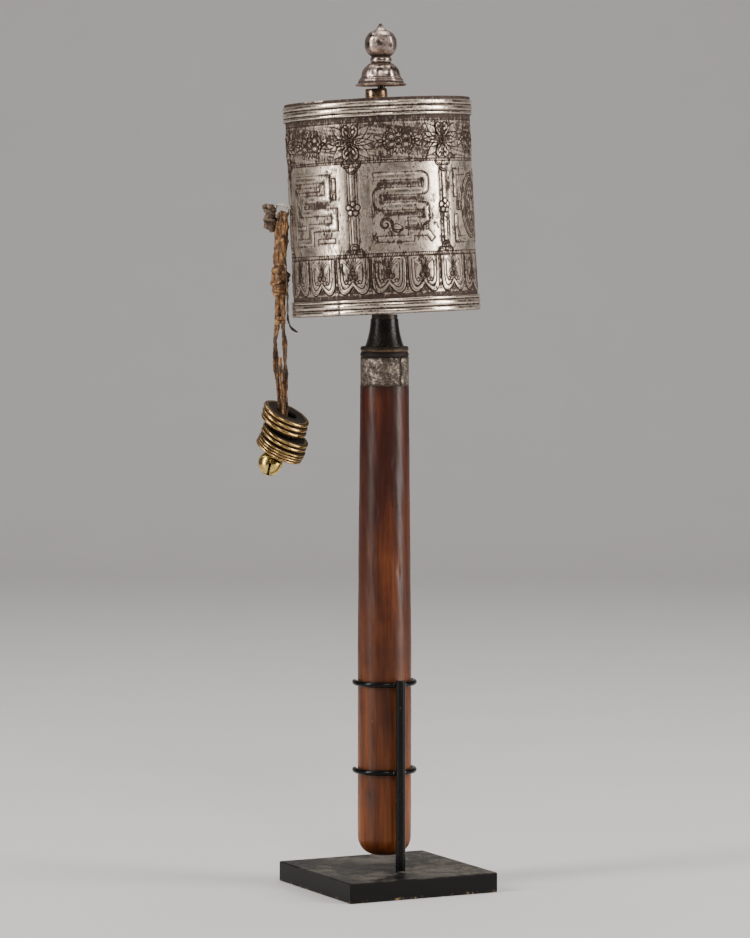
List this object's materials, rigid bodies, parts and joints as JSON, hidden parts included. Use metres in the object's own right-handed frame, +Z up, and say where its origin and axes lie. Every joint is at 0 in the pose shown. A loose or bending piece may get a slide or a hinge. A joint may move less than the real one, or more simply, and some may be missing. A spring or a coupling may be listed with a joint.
{
  "type": "prayer wheel",
  "caption": "Hand-held prayer wheel: engraved metal drum turning on an axle over a turned wooden handle, with a corded weight, held upright in a square display stand with wire clips.",
  "frame": {"origin": "centre of the base plate's flat underside", "axes": "+Z up along the handle, -Y the side of the stand that carries the upright rod, +X to the right of it"},
  "size_m": [0.0857, 0.0787, 0.346],
  "materials": {
    "stand_black": "satin black paint",
    "grip_wood": "polished dark reddish brown",
    "silver": "worn silver with dark brown patina in the recesses",
    "dark_ring": "blackened",
    "gilt_ring": "dark gilt",
    "horn": "polished black horn, scuffed",
    "iron": "dark, oiled",
    "collar_brass": "dull",
    "paper": "unprinted, aged",
    "core_wood": "plain",
    "cloth": "plain weave",
    "thread": "twisted thread",
    "cord_hide": "worn hide cord",
    "spacer_leather": "dark, hardened",
    "washer_bronze": "worn edges, dark faces",
    "bell_brass": "rubbed bright",
    "iron_pellet": "plain"
  },
  "bodies": {
    "stand": {"stand_base": "stand_black", "stand_rod": "stand_black", "lower_clip": "stand_black", "upper_clip": "stand_black"},
    "handle": {"handle_grip": "grip_wood", "ferrule": "silver", "lower_moulding_ring": "dark_ring", "upper_moulding_ring": "gilt_ring", "neck": "horn", "thrust_washer": "collar_brass", "axle": "iron"},
    "finial": {"canopy_dome": "silver", "finial_neck_ring": "silver", "finial_bud": "silver"},
    "drum": {"drum_shell": "silver", "bottom_rim": "silver", "top_rim": "silver", "bottom_lid": "silver", "top_lid": "silver", "bottom_bush": "collar_brass", "top_collar": "collar_brass", "core_tube": "core_wood", "prayer_scroll": "paper", "scroll_cloth": "cloth", "scroll_tie_lower": "thread", "scroll_tie_upper": "thread", "weight_eye": "silver", "eye_plate": "silver"},
    "cord_upper": {"cord_loop": "cord_hide", "cord_bundle": "cord_hide", "middle_knot": "cord_hide", "eye_knot": "cord_hide", "cord_tail": "cord_hide"},
    "cord_lower": {"cord_wrap": "cord_hide", "strand_outer": "cord_hide", "strand_inner": "cord_hide", "strand_middle": "cord_hide", "bell": "bell_brass"},
    "weights": {"weight_washer_1": "washer_bronze", "weight_washer_2": "washer_bronze", "weight_washer_3": "washer_bronze", "weight_washer_4": "washer_bronze", "weight_washer_5": "washer_bronze", "weight_washer_6": "washer_bronze", "weight_washer_7": "washer_bronze", "weight_washer_8": "washer_bronze", "weight_washer_9": "washer_bronze", "leather_spacer": "spacer_leather"},
    "pellet": {"bell_pellet": "iron_pellet"}
  },
  "joints": [
    {"name": "wheel_lift", "type": "slide", "parent": "stand", "child": "handle", "axis": [0, 0, 1], "range_m": [-0.0045, 0.08]},
    {"name": "drum_spin", "type": "hinge", "parent": "handle", "child": "drum", "pos_m": [0.00038, 0.00172, 0.2305], "axis": [-0.0334, 0.0362, 0.9988], "continuous": true},
    {"name": "finial_lift", "type": "slide", "parent": "handle", "child": "finial", "axis": [-0.0125, 0.0063, 0.9999], "range_m": [0, 0.03]},
    {"name": "cord_swing", "type": "hinge", "parent": "drum", "child": "cord_upper", "pos_m": [-0.03682, 0.02118, 0.271], "axis": [0.4478, 0.8942, 0], "range_deg": [0, 85]},
    {"name": "cord_sway", "type": "hinge", "parent": "cord_upper", "child": "cord_lower", "pos_m": [-0.03729, 0.02137, 0.2355], "axis": [-0.8942, 0.4478, 0], "range_deg": [-35, 35]},
    {"name": "weights_slide", "type": "slide", "parent": "cord_lower", "child": "weights", "axis": [0, 0, 1], "range_m": [0, 0.002]},
    {"name": "pellet_rattle", "type": "slide", "parent": "cord_lower", "child": "pellet", "axis": [0.4079, 0.3884, 0.8263], "range_m": [0, 0.005]}
  ]
}
